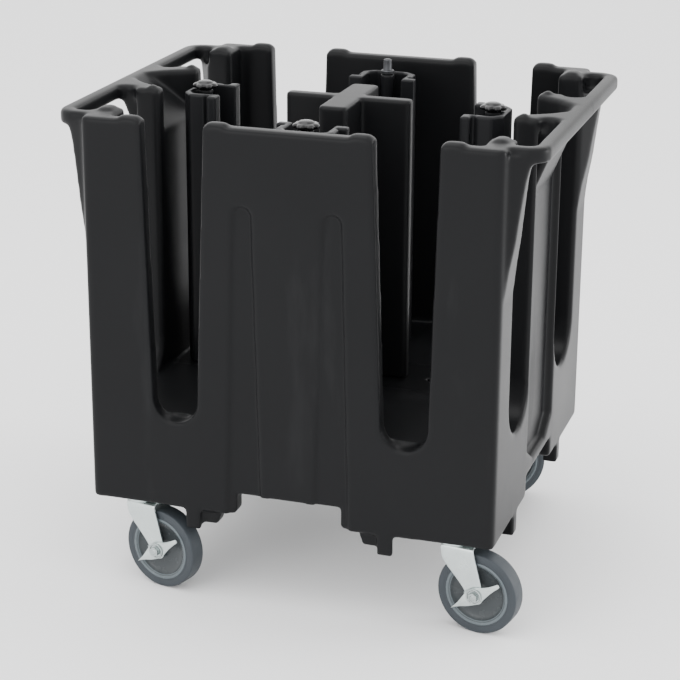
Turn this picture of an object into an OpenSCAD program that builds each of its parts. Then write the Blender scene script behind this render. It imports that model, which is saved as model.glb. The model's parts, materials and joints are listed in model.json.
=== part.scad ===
// Four-column plate cart: a moulded body on swivel casters, with a fixed centre cross and
// sliding towers that set the size of the plate columns.
// The origin is on the floor under the middle of the body, and the front faces -Y.

/* [Body] */
// Width of the moulded body without its handles
body_w = 732; // [700:1:760]
// Depth of the moulded body
body_d = 678; // [660:1:720]
// Height from the bottom edge of the body to its rim
body_h = 690; // [600:1:760]
// Radius of the upright outer corners
corner_r = 12; // [8:1:30]
// Thickness of the front and back walls
front_wall = 30; // [26:1:36]
// Thickness of the side walls
side_wall = 46; // [40:1:50]
// Height of the deck above the bottom edge
deck_h = 165; // [150:1:180]
// Height of the hollow underneath, above the bottom edge
hollow_h = 42; // [36:1:50]
// Thickness of the skirt round the hollow
skirt_t = 38; // [30:1:42]
// Height of the four raised seats on the deck, on which the plates stand
seat_h = 1.5; // [1:0.5:4]

/* [Slots] */
// From the centre to the outer edge of a slot in the front or back wall, at the rim
front_slot_out = 258; // [248:1:264]
// From the centre to the outer edge of that slot at its foot
front_slot_out_foot = 246; // [236:1:250]
// From the centre to the inner edge of that slot at the rim
front_slot_in = 146; // [134:1:152]
// From the centre to the inner edge of that slot at its foot
front_slot_foot = 165; // [157:1:171]
// From the centre to the outer edge of a slot in a side wall
side_slot_out = 250; // [236:1:254]
// From the centre to the inner edge of a slot in a side wall
side_slot_in = 105; // [98:1:120]
// Lowest point of a slot above the bottom edge
slot_sill = 160; // [140:1:164]

/* [Front panel] */
// From the centre to the middle of a flute
flute_x = 79; // [70:1:84]
// Width of a flute near its arched top
flute_top_w = 35; // [28:1:40]
// Width of a flute at its foot
flute_foot_w = 64; // [50:1:66]
// Height of the arched top of a flute above the bottom edge
flute_h = 560; // [480:1:590]
// Depth of a flute
flute_depth = 6; // [3:0.5:9]
// Half width of the raised middle of the bottom edge
arch_half = 95; // [76:1:104]
// Height of the raised middle of the bottom edge
arch_h = 40; // [30:1:41]
// Width of the bevel beside the raised middle
arch_bevel = 6; // [4:1:12]

/* [Handles] */
// How far a handle stands out from the side
handle_reach = 60; // [52:1:72]
// Width of the bar seen from above
bar_w = 26; // [22:1:30]
// Height of the bar
bar_h = 26; // [22:1:36]
// Overall length of a handle along the side
handle_len = 620; // [590:1:640]
// Radius of the outer corners of a handle
handle_r = 34; // [20:1:40]
// Half width of the bridge in the middle of a handle
bridge_half = 88; // [86:1:94]
// Radius of the corners of the hand gaps
gap_r = 14; // [8:1:16]
// Length along the side of the gussets under the ends of a handle
gusset_l = 60; // [40:1:60]
// Height of the gussets
gusset_h = 230; // [180:1:300]
// Depth of the outer recess in the middle of a side
recess_t = 16; // [10:1:20]
// Half length of that recess
recess_half = 97; // [90:1:99]
// Height of the middle of the foot of that recess above the bottom edge
recess_foot = 60; // [50:1:74]

/* [Centre cross] */
// Length of the cross along the width of the cart
cross_w = 230; // [210:1:236]
// Length of the cross along the depth of the cart
cross_d = 200; // [180:1:206]
// Thickness of the arms that run across the cart
cross_arm_t = 26; // [20:1:34]
// Thickness of the arms that run from front to back
cross_rib_t = 52; // [40:1:60]
// How far the top of the cross is below the rim
cross_drop = 8; // [2:1:30]

/* [Towers] */
// Width of a tower over the wings at its open side
tower_w = 126; // [112:1:128]
// Depth of a tower along its travel
tower_d = 70; // [64:1:72]
// Length of the wings along the travel
wing_l = 17; // [12:1:20]
// Width of a tower behind its wings
tower_body_w = 104; // [96:1:108]
// Width of the flat back of a tower
tower_back_w = 66; // [56:1:80]
// From the open side of a tower to the end of its straight sides
tower_side_d = 54; // [48:1:56]
// Width of the space inside a tower
tower_in_w = 76; // [70:1:80]
// From the open side of a tower to its clamp rod
tower_rod_at = 42; // [38:1:44]
// How far the top of a tower is below the rim
tower_drop = 16; // [2:1:30]
// From the left tower to the side wall behind it
left_gap = 20; // [3:1:60]
// From the right tower to the side wall behind it
right_gap = 32; // [3:1:60]
// From the back tower to the wall behind it
back_gap = 47; // [3:1:60]
// From the front tower to the wall in front of it
front_gap = 46; // [3:1:60]
// Diameter of the clamp rods
rod_d = 10; // [8:0.5:12]
// Diameter of the clamp knobs
knob_d = 48; // [40:1:54]
// Height of the clamp knobs
knob_h = 15; // [10:1:20]
// Height of the bare pin on the back tower
pin_h = 28; // [20:1:40]
// Diameter of the domed head of that pin
pin_head_d = 16; // [14:1:20]

/* [Casters] */
// Wheel diameter
wheel_d = 146; // [130:1:150]
// Tread width
wheel_w = 32; // [28:1:36]
// From a swivel axis to the side of the body
caster_in_x = 77; // [72:1:84]
// From a swivel axis to the front or back of the body
caster_in_y = 42; // [40:1:48]
// How far a wheel trails behind its swivel axis
trail = 50; // [40:1:54]
// Depth of the pocket that holds the caster plate
pocket_h = 28; // [22:1:34]
// Thickness of the fork's sheet metal
fork_t = 4; // [3:0.5:5]
// Width of a fork leg at the top
leg_w = 58; // [50:1:62]
// How far the top of a fork leg is set back from the swivel axis toward the wheel
leg_back = 14; // [8:1:18]
// Turn of the front left caster
angle_fl = -15; // [-90:1:90]
// Turn of the front right caster
angle_fr = -10; // [-90:1:90]
// Turn of the back left caster
angle_bl = 197; // [90:1:270]
// Turn of the back right caster
angle_br = 210; // [90:1:270]

/* [Hidden] */
$fn = 64;

body_color = "#2c2d30";
tower_color = "#34363a";
steel_color = "#c3c7cc";
tyre_color = "#59616d";
hub_color = "#43474c";
knob_color = "#141416";

// Clearances: between bodies that slide or stand on each other, and in running fits
slide_gap = 0.3;
run_gap = 0.05;
overrun = 2;

// Caster heights, from the floor up
wheel_r = wheel_d / 2;
crown_gap = 9;
race_h = 6;
cup_h = 22;
plate_t = 4;
crown_z = wheel_d + crown_gap;
race_z = crown_z + fork_t;
cup_z = race_z + race_h + slide_gap;
plate_z = cup_z + cup_h;
caster_h = plate_z + plate_t;

// Levels of the body, from the floor up
bottom_z = caster_h - pocket_h;
hollow_z = bottom_z + hollow_h;
deck_z = bottom_z + deck_h;
sill_z = bottom_z + slot_sill;
rim_z = bottom_z + body_h;
wall_in_x = body_w / 2 - side_wall;
wall_in_y = body_d / 2 - front_wall;
caster_x = body_w / 2 - caster_in_x;
caster_y = body_d / 2 - caster_in_y;

// Raised seats on the deck, clear of the walls and of the towers
seat_wall_gap = 3;
seat_tower_gap = 4;

// Raised pads on the tops of the walls, and nubs on the ends of the side panels
nub_l = 16;
nub_w = 12;
pad_w = 34;
pad_t = 22;
pad_h = 6;
pad_r = 8;
pad_inset = 5;

// Tabs and lugs that hang from the bottom edge beside the casters
tab_w = 27;
tab_at = 162;
tab_t = 12;
side_tab_t = 26;
tab_h = 36;
lug_w = 38;
lug_t = 30;
lug_h = 26;
lug_slant = 10;

// Handle levels
bridge_drop = 150;
scoop_wall = 24;
scoop_mouth = 80;
scoop_neck = 52;
scoop_end = 22;
bar_z = rim_z - bar_h;
handle_x = body_w / 2 + handle_reach;
gap_in_x = body_w / 2;
gap_out_x = handle_x - bar_w;
arm_w = bar_w;
gusset_front = 14;
recess_arch = 30;

// Flare of a gusset: at each share of its height, how much of its reach it stands out
flare_level_shares = [0.13, 0.4, 0.58, 0.78];
flare_reach_shares = [0.8, 0.56, 0.42, 0.18];

// Track under the deck for the foot of a clamp rod
track_w = 36;
ledge_t = 25;
rod_slack = 2;
track_slot_w = rod_d + rod_slack;
rod_play = 6;
foot_w = 30;
foot_t = 8;
stop_gap = 3;

// Towers: how far each may travel in and out
cross_gap = 5;
side_in = cross_w / 2 + cross_gap;
side_out = wall_in_x - stop_gap - tower_d;
end_in = cross_d / 2 + cross_gap;
end_out = wall_in_y - stop_gap - tower_d;
side_left_at = wall_in_x - left_gap - tower_d;
side_right_at = wall_in_x - right_gap - tower_d;
end_front_at = wall_in_y - front_gap - tower_d;
end_back_at = wall_in_y - back_gap - tower_d;
groove_l = 8;
groove_w = 12;
tower_back_t = 9;
boss_d = 26;
knob_lobes = 7;
lobe_r = 5;
tower_top = rim_z - tower_drop;
tower_foot = deck_z + slide_gap;

// Casters: plate, king pin, bolts and lever
plate_l = 92;
plate_w = 60;
cup_r = 24;
king_r = 6;
king_head_r = 11;
king_head_h = 6;
bolt_x = 37;
bolt_y = 21;
bolt_r = 4;
bolt_head_r = 6.5;
bolt_head_h = 5;
bolt_grip = 24;
cross_bolt_at = 70;
tyre_t = 17;
tread_r = 5;
hub_web = 5;
axle_r = 5;
fork_gap = 4;
fork_in = wheel_w / 2 + fork_gap;
fork_out = fork_in + fork_t;
eye_r = 13;
nut_r = 9;
nut_h = 6;
washer_r = 10.5;
washer_h = 1.5;
lever_l = 54;
lever_t = 2.5;
lever_hub_r = 11;
lever_tip_w = 8;
lever_waist_w = 26;
lever_tilt = 33;
pocket_x = 58;
pocket_y = 34;
pocket_in_y = 44;
pocket_r = 6;

// A rectangle with round corners, centred on the origin
module round_rect(w, d, r) {
    square([w - 2 * r, d], center = true);
    square([w, d - 2 * r], center = true);
    for (i = [-1, 1], j = [-1, 1])
        translate([i * (w / 2 - r), j * (d / 2 - r)])
            circle(r = r);
}

// A block with round upright corners, standing on z = 0
module round_block(w, d, h, r) {
    linear_extrude(h)
        round_rect(w, d, r);
}

// Copies of a child at both signs of X and Y
module four_ways() {
    for (i = [0, 1], j = [0, 1])
        mirror([i, 0, 0])
            mirror([0, j, 0])
                children();
}

// Turns an outline drawn in X and Z into a slab that runs from y0 to y1
module slab_y(y0, y1) {
    translate([0, y1, 0])
        rotate([90, 0, 0])
            linear_extrude(y1 - y0)
                children();
}

// Opening of one slot, seen square on, with its round foot
module slot_outline(inner_top, inner_foot, outer_top, outer_foot) {
    r = (outer_foot - inner_foot) / 2;
    polygon([[inner_foot, sill_z + r], [outer_foot, sill_z + r],
        [outer_top, rim_z + pad_h + overrun], [inner_top, rim_z + pad_h + overrun]]);
    translate([inner_foot + r, sill_z + r])
        circle(r = r);
}

module front_slots() {
    four_ways()
        slab_y(wall_in_y - overrun, body_d / 2 + overrun)
            slot_outline(front_slot_in, front_slot_foot, front_slot_out, front_slot_out_foot);
}

module side_slots() {
    four_ways()
        translate([wall_in_x - overrun, 0, 0])
            rotate([90, 0, 90])
                linear_extrude(side_wall + 2 * overrun)
                    slot_outline(side_slot_in, side_slot_in, side_slot_out, side_slot_out);
}

// Shallow arched grooves in the front and back panels
module flutes() {
    four_ways()
        slab_y(body_d / 2 - flute_depth, body_d / 2 + overrun)
            translate([flute_x, bottom_z]) {
                polygon([[-flute_foot_w / 2, -overrun], [flute_foot_w / 2, -overrun],
                    [flute_top_w / 2, flute_h - flute_top_w / 2],
                    [-flute_top_w / 2, flute_h - flute_top_w / 2]]);
                translate([0, flute_h - flute_top_w / 2])
                    circle(d = flute_top_w);
            }
}

// Raised middle of the bottom edge, cut through the skirt from front to back and side to side
module arches() {
    for (turn = [0, 90])
        rotate([0, 0, turn])
            slab_y(-body_w, body_w)
                translate([0, bottom_z])
                    polygon([[-arch_half - arch_bevel, -overrun], [arch_half + arch_bevel, -overrun],
                        [arch_half + arch_bevel, 0], [arch_half, arch_bevel], [arch_half, arch_h],
                        [-arch_half, arch_h], [-arch_half, arch_bevel], [-arch_half - arch_bevel, 0]]);
}

// Hollow underneath, with a shallower pocket over each caster
module underside() {
    inner_w = body_w - 2 * skirt_t;
    inner_d = body_d - 2 * skirt_t;
    translate([0, 0, bottom_z - overrun])
        linear_extrude(hollow_h + overrun)
            difference() {
                round_rect(inner_w, inner_d, pad_r);
                for (i = [-1, 1], j = [-1, 1])
                    translate([i * (caster_x + pocket_x), j * (caster_y + pocket_in_y)])
                        square([4 * pocket_x, 4 * pocket_in_y], center = true);
            }
    for (i = [-1, 1], j = [-1, 1])
        translate([i * caster_x, j * (caster_y + (pocket_y - pocket_in_y) / 2), bottom_z - overrun])
            round_block(2 * pocket_x - pocket_r, pocket_y + pocket_in_y, pocket_h + overrun, pocket_r);
}

// Plan of both handles, before the hand gaps are cut
module handle_plan() {
    for (i = [-1, 1])
        translate([i * (handle_x + wall_in_x) / 2, 0])
            round_rect(handle_x - wall_in_x, handle_len, handle_r);
}

// The two openings for the hand in each handle
module hand_gaps() {
    gap_l = handle_len / 2 - arm_w - bridge_half;
    four_ways()
        translate([(gap_in_x + gap_out_x) / 2, bridge_half + gap_l / 2, bar_z - overrun])
            round_block(gap_out_x - gap_in_x, gap_l, bar_h + 2 * overrun, gap_r);
}

// Gussets that flare from the corner posts up to the ends of the handles
module gussets() {
    x0 = body_w / 2 - side_wall / 2;
    y0 = handle_len / 2 - gusset_l;
    y1 = handle_len / 2 + gusset_front;
    reach = handle_reach - bar_w;
    flare = [for (k = [0 : len(flare_level_shares) - 1])
        [body_w / 2 + reach * flare_reach_shares[k], bar_z - gusset_h * flare_level_shares[k]]];
    four_ways()
        intersection() {
            slab_y(y0, y1)
                polygon(concat([[x0, bar_z + bar_h / 2], [body_w / 2 + reach, bar_z + bar_h / 2],
                    [body_w / 2 + reach, bar_z]], flare,
                    [[body_w / 2, bar_z - gusset_h], [x0, bar_z - gusset_h]]));
            translate([0, 0, bar_z - gusset_h])
                linear_extrude(gusset_h + bar_h)
                    polygon([[x0, y0], [body_w / 2, y0],
                        [body_w / 2 + reach, handle_len / 2 - gusset_front],
                        [body_w / 2 + reach, handle_len / 2], [body_w / 2, y1], [x0, y1]]);
        }
}

// Bracket under the middle of each handle
module bridges() {
    x = body_w / 2 - recess_t - side_wall / 4;
    for (i = [0, 1])
        mirror([i, 0, 0])
            slab_y(-bridge_half, bridge_half)
                polygon([[x, rim_z], [gap_out_x + bar_w / 2, rim_z], [gap_out_x + bar_w / 2, bar_z],
                    [gap_out_x, bar_z], [x, bar_z - bridge_drop]]);
}

// Scoops in the inner faces of the side panels, which lead out under the handles
module scoops() {
    x0 = wall_in_x - overrun;
    xm = gap_in_x;
    x1 = gap_out_x;
    for (i = [0, 1])
        mirror([i, 0, 0])
            intersection() {
                translate([0, 0, deck_z])
                    linear_extrude(rim_z)
                        polygon([[x0, -scoop_mouth], [xm, -scoop_neck], [x1, -scoop_end],
                            [x1, scoop_end], [xm, scoop_neck], [x0, scoop_mouth]]);
                slab_y(-scoop_mouth, scoop_mouth)
                    polygon([[x0, rim_z + overrun], [x1, rim_z + overrun], [x1, bar_z + scoop_wall],
                        [x0, bar_z + scoop_wall - (x1 - x0)]]);
            }
}

// Outer recess in the middle of each side, with a foot that dips in the middle
module side_recesses() {
    z0 = bottom_z + recess_foot;
    z1 = rim_z + overrun;
    for (i = [0, 1])
        mirror([i, 0, 0])
            translate([body_w / 2 - recess_t, 0, 0])
                rotate([90, 0, 90])
                    linear_extrude(recess_t + overrun)
                        polygon([[-recess_half, z0 + recess_arch], [-recess_half / 2, z0], [recess_half / 2, z0],
                            [recess_half, z0 + recess_arch], [recess_half, z1], [-recess_half, z1]]);
}

// Raised pads near the ends of the wall tops, and the smaller nubs of the side panels
module top_pads() {
    front_y = body_d / 2 - front_wall / 2;
    side_x = body_w / 2 - side_wall / 2;
    four_ways() {
        for (x = [front_slot_in - pad_inset - pad_w / 2, front_slot_out + pad_inset + pad_w / 2])
            translate([x, front_y, rim_z])
                round_block(pad_w, pad_t, pad_h, pad_r);
        translate([side_x, side_slot_out + pad_inset + pad_w / 2, rim_z])
            round_block(pad_t, pad_w, pad_h, pad_r);
        translate([side_x - nub_w / 2, side_slot_in - pad_inset - nub_l / 2, rim_z])
            round_block(nub_w, nub_l, pad_h, nub_w / 4);
    }
}

// Seats for the four columns of plates, between the paths of the towers
module seats() {
    x0 = tower_w / 2 + seat_tower_gap;
    x1 = wall_in_x - seat_wall_gap;
    y1 = wall_in_y - seat_wall_gap;
    four_ways()
        translate([(x0 + x1) / 2, (x0 + y1) / 2, deck_z - overrun])
            round_block(x1 - x0, y1 - x0, seat_h + overrun, pad_r);
}

// Tabs and lugs under the bottom edge; the inner end of a lug slants
module bottom_tabs() {
    lug_y = body_d / 2 - tab_t;
    four_ways() {
        translate([tab_at, lug_y, bottom_z - tab_h])
            cube([tab_w, tab_t, tab_h + hollow_h]);
        translate([body_w / 2 - side_tab_t, tab_at, bottom_z - tab_h])
            cube([side_tab_t, tab_w, tab_h + hollow_h]);
        slab_y(lug_y - lug_t, lug_y)
            polygon([[tab_at - lug_w + lug_slant, bottom_z - lug_h], [tab_at + tab_t, bottom_z - lug_h],
                [tab_at + tab_t, hollow_z + overrun], [tab_at - lug_w, hollow_z + overrun],
                [tab_at - lug_w, bottom_z]]);
    }
}

// Slot through the deck and wider track below it, for a clamp rod that moves from a to b
module track(a, b) {
    lo = a + tower_rod_at;
    hi = b + tower_rod_at;
    translate([(lo + hi) / 2, 0, deck_z - ledge_t - overrun])
        round_block(hi - lo + track_slot_w + rod_play, track_slot_w, ledge_t + 2 * overrun,
            track_slot_w / 2 - run_gap);
    translate([lo - foot_w / 2 - rod_play, -track_w / 2, hollow_z - overrun])
        cube([hi - lo + foot_w + 2 * rod_play, track_w, deck_z - ledge_t - hollow_z + overrun]);
}

module tracks() {
    track(side_in, side_out);
    rotate([0, 0, 180])
        track(side_in, side_out);
    rotate([0, 0, 90])
        track(end_in, end_out);
    rotate([0, 0, -90])
        track(end_in, end_out);
}

module cart_body() {
    color(body_color)
        difference() {
            union() {
                difference() {
                    union() {
                        translate([0, 0, bottom_z])
                            round_block(body_w, body_d, deck_h, corner_r);
                        translate([0, 0, deck_z])
                            linear_extrude(body_h - deck_h)
                                difference() {
                                    round_rect(body_w, body_d, corner_r);
                                    square([2 * wall_in_x, 2 * wall_in_y], center = true);
                                }
                    }
                    side_recesses();
                    underside();
                    arches();
                    flutes();
                }
                translate([0, 0, bar_z])
                    linear_extrude(bar_h)
                        difference() {
                            handle_plan();
                            square([2 * (body_w / 2 - side_wall / 2), body_d], center = true);
                        }
                gussets();
                bridges();
                top_pads();
                bottom_tabs();
                seats();
            }
            hand_gaps();
            scoops();
            front_slots();
            side_slots();
            tracks();
            bolt_holes();
        }
}

// Holes in the body for the caster bolts and for the bolts of the cross
module bolt_holes() {
    for (i = [-1, 1], j = [-1, 1])
        translate([i * caster_x, j * caster_y, caster_h - overrun])
            bolt_pattern()
                cylinder(r = bolt_r + run_gap, h = bolt_grip + 2 * overrun);
    for (j = [-1, 1])
        translate([0, j * cross_bolt_at, hollow_z - overrun])
            cylinder(r = bolt_r + run_gap, h = deck_z - hollow_z + 2 * overrun);
}

module bolt_pattern() {
    for (i = [-1, 1], j = [-1, 1])
        translate([i * bolt_x, j * bolt_y, 0])
            children();
}

// A bolt whose head is below z = 0 and whose shank rises above it
module bolt(grip) {
    translate([0, 0, -bolt_head_h])
        cylinder(r = bolt_head_r, h = bolt_head_h, $fn = 6);
    translate([0, 0, -run_gap])
        cylinder(r = bolt_r, h = grip + run_gap);
}

module centre_cross() {
    h = rim_z - cross_drop - deck_z;
    arm_r = cross_arm_t / 4;
    rib_r = cross_rib_t / 6;
    color(body_color)
        difference() {
            translate([0, 0, deck_z])
                union() {
                    round_block(cross_w, cross_arm_t, h, arm_r);
                    round_block(cross_rib_t, cross_d, h, rib_r);
                }
            for (j = [-1, 1])
                translate([0, j * cross_bolt_at, deck_z - overrun])
                    cylinder(r = bolt_r + run_gap, h = bolt_grip + 2 * overrun);
        }
}

module cross_bolts() {
    color(steel_color)
        for (j = [-1, 1])
            translate([0, j * cross_bolt_at, hollow_z])
                bolt(deck_z - hollow_z + bolt_grip);
}

// Plan of a tower: a channel open toward the cart's centre, with a boss for its rod
module tower_plan() {
    wing = tower_w / 2;
    side = tower_body_w / 2;
    back = tower_back_w / 2;
    inner = tower_in_w / 2;
    inner_d = tower_d - tower_back_t;
    difference() {
        polygon([[0, -wing], [wing_l, -wing], [wing_l, -side], [tower_side_d, -side],
            [tower_d, -back], [tower_d, back], [tower_side_d, side], [wing_l, side],
            [wing_l, wing], [0, wing]]);
        for (j = [-1, 1])
            translate([wing_l + groove_l / 2, j * side])
                square([groove_l, groove_w], center = true);
        polygon([[-overrun, -inner], [tower_side_d - tower_back_t / 2, -inner],
            [inner_d, -back + tower_back_t], [inner_d, back - tower_back_t],
            [tower_side_d - tower_back_t / 2, inner], [-overrun, inner]]);
    }
    translate([tower_rod_at, 0])
        circle(d = boss_d);
    translate([tower_rod_at, -boss_d / 4])
        square([inner_d + tower_back_t / 2 - tower_rod_at, boss_d / 2]);
}

// Places a child that is drawn for a tower whose open side is at x = 0
module at_tower(turn, at) {
    rotate([0, 0, turn])
        translate([at, 0, 0])
            children();
}

module tower(turn, at) {
    color(tower_color)
        at_tower(turn, at)
            difference() {
                translate([0, 0, tower_foot])
                    linear_extrude(tower_top - tower_foot)
                        tower_plan();
                translate([tower_rod_at, 0, tower_foot - overrun])
                    cylinder(d = rod_d + 2 * run_gap, h = tower_top - tower_foot + 2 * overrun);
            }
}

// Clamp rod from its foot under the deck up to height top
module rod(turn, at, top) {
    color(steel_color)
        at_tower(turn, at)
            translate([tower_rod_at, 0, deck_z - ledge_t - slide_gap - foot_t])
                cylinder(d = rod_d, h = top - deck_z + ledge_t + slide_gap + foot_t);
}

module clamp_foot(turn, at) {
    color(steel_color)
        at_tower(turn, at)
            translate([tower_rod_at, 0, deck_z - ledge_t - slide_gap - foot_t])
                difference() {
                    translate([0, 0, foot_t / 2])
                        cube([foot_w, foot_w, foot_t], center = true);
                    translate([0, 0, -overrun])
                        cylinder(d = rod_d + 2 * run_gap, h = foot_t + 2 * overrun);
                }
}

// Lobed knob that stands on a tower and turns on its rod
module knob(turn, at) {
    bore_h = knob_h / 2;
    color(knob_color)
        at_tower(turn, at)
            translate([tower_rod_at, 0, tower_top + slide_gap])
                difference() {
                    union() {
                        cylinder(r = knob_d / 2 - lobe_r, h = knob_h);
                        for (k = [0 : knob_lobes - 1])
                            rotate([0, 0, 360 * k / knob_lobes])
                                translate([knob_d / 2 - lobe_r, 0, knob_h / 5])
                                    cylinder(r = lobe_r, h = knob_h / 2);
                    }
                    translate([0, 0, -overrun])
                        cylinder(d = rod_d + 2 * run_gap, h = bore_h + overrun);
                }
}

// Domed head of the bare pin on the back tower
module pin_head(turn, at) {
    color(steel_color)
        at_tower(turn, at)
            translate([tower_rod_at, 0, tower_top + pin_h - pin_head_d / 2])
                difference() {
                    union() {
                        intersection() {
                            sphere(d = pin_head_d);
                            translate([0, 0, pin_head_d / 2])
                                cube(pin_head_d, center = true);
                        }
                        translate([0, 0, -pin_head_d / 4])
                            cylinder(d = pin_head_d, h = pin_head_d / 4);
                    }
                    translate([0, 0, -pin_head_d])
                        cylinder(d = rod_d + 2 * run_gap, h = pin_head_d + slide_gap);
                }
}

// Places a child that is drawn for a caster at the origin that trails toward +X
module at_caster(i, j, turn) {
    translate([i * caster_x, j * caster_y, 0])
        rotate([0, 0, turn])
            children();
}

// Fixed part of a caster: top plate, bearing cup and king pin
module caster_plate(i, j) {
    head_z = crown_z - slide_gap - king_head_h;
    color(steel_color)
        translate([i * caster_x, j * caster_y, 0])
            difference() {
                union() {
                    translate([0, 0, plate_z])
                        round_block(plate_l, plate_w, plate_t, pad_r);
                    translate([0, 0, cup_z])
                        cylinder(r1 = cup_r, r2 = cup_r + plate_t, h = cup_h);
                    translate([0, 0, head_z])
                        cylinder(r = king_head_r, h = king_head_h);
                    translate([0, 0, head_z])
                        cylinder(r = king_r, h = plate_z - head_z);
                }
                translate([0, 0, plate_z - overrun])
                    bolt_pattern()
                        cylinder(r = bolt_r + run_gap, h = plate_t + 2 * overrun);
            }
}

// Outline of a fork leg in X and Z, with the eye for the axle
module leg_outline() {
    front = leg_back - leg_w / 2;
    rear = leg_back + leg_w / 2;
    polygon([[front, race_z], [front, crown_z - fork_t], [trail - eye_r, wheel_r],
        [trail + eye_r, wheel_r], [rear, crown_z - fork_t], [rear, race_z]]);
    translate([trail, wheel_r])
        circle(r = eye_r);
}

// Swivelling fork: crown, upper race and the two legs
module fork(i, j, turn) {
    color(steel_color)
        at_caster(i, j, turn)
            difference() {
                union() {
                    translate([leg_back - leg_w / 2, -fork_out, crown_z])
                        cube([leg_w, 2 * fork_out, fork_t]);
                    translate([0, 0, crown_z])
                        cylinder(r = cup_r + fork_t, h = fork_t + race_h);
                    slab_y(fork_in, fork_out)
                        leg_outline();
                    slab_y(-fork_out, -fork_in)
                        leg_outline();
                }
                translate([0, 0, crown_z - overrun])
                    cylinder(r = king_r + run_gap, h = fork_t + race_h + 2 * overrun);
                slab_y(-fork_out - overrun, fork_out + overrun)
                    translate([trail, wheel_r])
                        circle(r = axle_r + run_gap);
            }
}

// Axle bolt with a washer and hex head on one side and a washer and nut on the other
module axle(i, j, turn, brake) {
    gap = brake ? lever_t + 2 * slide_gap : slide_gap;
    near = -fork_out - gap;
    far = fork_out + slide_gap;
    color(steel_color)
        at_caster(i, j, turn)
            translate([trail, 0, wheel_r])
                rotate([90, 0, 0]) {
                    translate([0, 0, -far - washer_h])
                        cylinder(r = axle_r, h = far - near + 2 * washer_h);
                    translate([0, 0, -near])
                        cylinder(r = washer_r, h = washer_h);
                    translate([0, 0, -near + washer_h])
                        cylinder(r = nut_r, h = nut_h, $fn = 6);
                    translate([0, 0, -far - washer_h])
                        cylinder(r = washer_r, h = washer_h);
                    translate([0, 0, -far - washer_h - nut_h])
                        cylinder(r = nut_r, h = nut_h, $fn = 6);
                }
}

// Places a child that is drawn about +Z on the wheel axis of a caster
module at_wheel(i, j, turn) {
    at_caster(i, j, turn)
        translate([trail, 0, wheel_r])
            rotate([90, 0, 0])
                children();
}

// Section of the dished wheel hub in radius and width
module hub_section() {
    rim_r = wheel_r - tyre_t;
    half = wheel_w / 2;
    bush_r = axle_r + fork_gap + hub_web;
    polygon([[axle_r + run_gap, -half - fork_gap + slide_gap], [bush_r, -half - fork_gap + slide_gap],
        [bush_r + hub_web, -hub_web], [rim_r - 2 * hub_web, -hub_web], [rim_r - hub_web, -half],
        [rim_r, -half], [rim_r, half], [rim_r - hub_web, half], [rim_r - 2 * hub_web, hub_web],
        [bush_r + hub_web, hub_web], [bush_r, half + fork_gap - slide_gap],
        [axle_r + run_gap, half + fork_gap - slide_gap]]);
}

module hub(i, j, turn) {
    color(hub_color)
        at_wheel(i, j, turn)
            rotate_extrude()
                hub_section();
}

module tyre(i, j, turn) {
    color(tyre_color)
        at_wheel(i, j, turn)
            rotate_extrude()
                polygon([[wheel_r - tyre_t, -wheel_w / 2], [wheel_r - tread_r, -wheel_w / 2],
                    [wheel_r, -wheel_w / 2 + tread_r], [wheel_r, wheel_w / 2 - tread_r],
                    [wheel_r - tread_r, wheel_w / 2], [wheel_r - tyre_t, wheel_w / 2]]);
}

// Brake lever on the axle, outside the fork, with two wings that narrow to their tips
module brake_lever(i, j, turn) {
    color(steel_color)
        at_wheel(i, j, turn)
            translate([0, 0, fork_out + slide_gap])
                rotate([0, 0, lever_tilt])
                    linear_extrude(lever_t)
                        difference() {
                            union() {
                                circle(r = lever_hub_r);
                                polygon([[-lever_l, -lever_tip_w / 2], [0, -lever_waist_w / 2],
                                    [lever_l, -lever_tip_w / 2], [lever_l, lever_tip_w / 2],
                                    [0, lever_waist_w / 2], [-lever_l, lever_tip_w / 2]]);
                            }
                            circle(r = axle_r + run_gap);
                        }
}

module caster_bolts() {
    color(steel_color)
        for (i = [-1, 1], j = [-1, 1])
            translate([i * caster_x, j * caster_y, plate_z])
                bolt_pattern()
                    bolt(plate_t + bolt_grip);
}

rod_top = tower_top + knob_h / 2;
pin_top = tower_top + pin_h - pin_head_d / 2;

cart_body();
centre_cross();
cross_bolts();
tower(180, side_left_at);  // tower_left
tower(0, side_right_at);  // tower_right
tower(-90, end_front_at);  // tower_front
tower(90, end_back_at);  // tower_back
rod(180, side_left_at, rod_top);  // rod_left
rod(0, side_right_at, rod_top);  // rod_right
rod(-90, end_front_at, rod_top);  // rod_front
rod(90, end_back_at, pin_top);  // rod_back
knob(180, side_left_at);  // knob_left
knob(0, side_right_at);  // knob_right
knob(-90, end_front_at);  // knob_front
clamp_foot(180, side_left_at);  // clamp_foot_left
clamp_foot(0, side_right_at);  // clamp_foot_right
clamp_foot(-90, end_front_at);  // clamp_foot_front
clamp_foot(90, end_back_at);  // clamp_foot_back
pin_head(90, end_back_at);  // pin_head_back
caster_plate(-1, -1);  // caster_plate_fl
caster_plate(1, -1);  // caster_plate_fr
caster_plate(-1, 1);  // caster_plate_bl
caster_plate(1, 1);  // caster_plate_br
fork(-1, -1, angle_fl);  // fork_fl
fork(1, -1, angle_fr);  // fork_fr
fork(-1, 1, angle_bl);  // fork_bl
fork(1, 1, angle_br);  // fork_br
axle(-1, -1, angle_fl, true);  // axle_fl
axle(1, -1, angle_fr, true);  // axle_fr
axle(-1, 1, angle_bl, false);  // axle_bl
axle(1, 1, angle_br, false);  // axle_br
hub(-1, -1, angle_fl);  // hub_fl
hub(1, -1, angle_fr);  // hub_fr
hub(-1, 1, angle_bl);  // hub_bl
hub(1, 1, angle_br);  // hub_br
tyre(-1, -1, angle_fl);  // tyre_fl
tyre(1, -1, angle_fr);  // tyre_fr
tyre(-1, 1, angle_bl);  // tyre_bl
tyre(1, 1, angle_br);  // tyre_br
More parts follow.
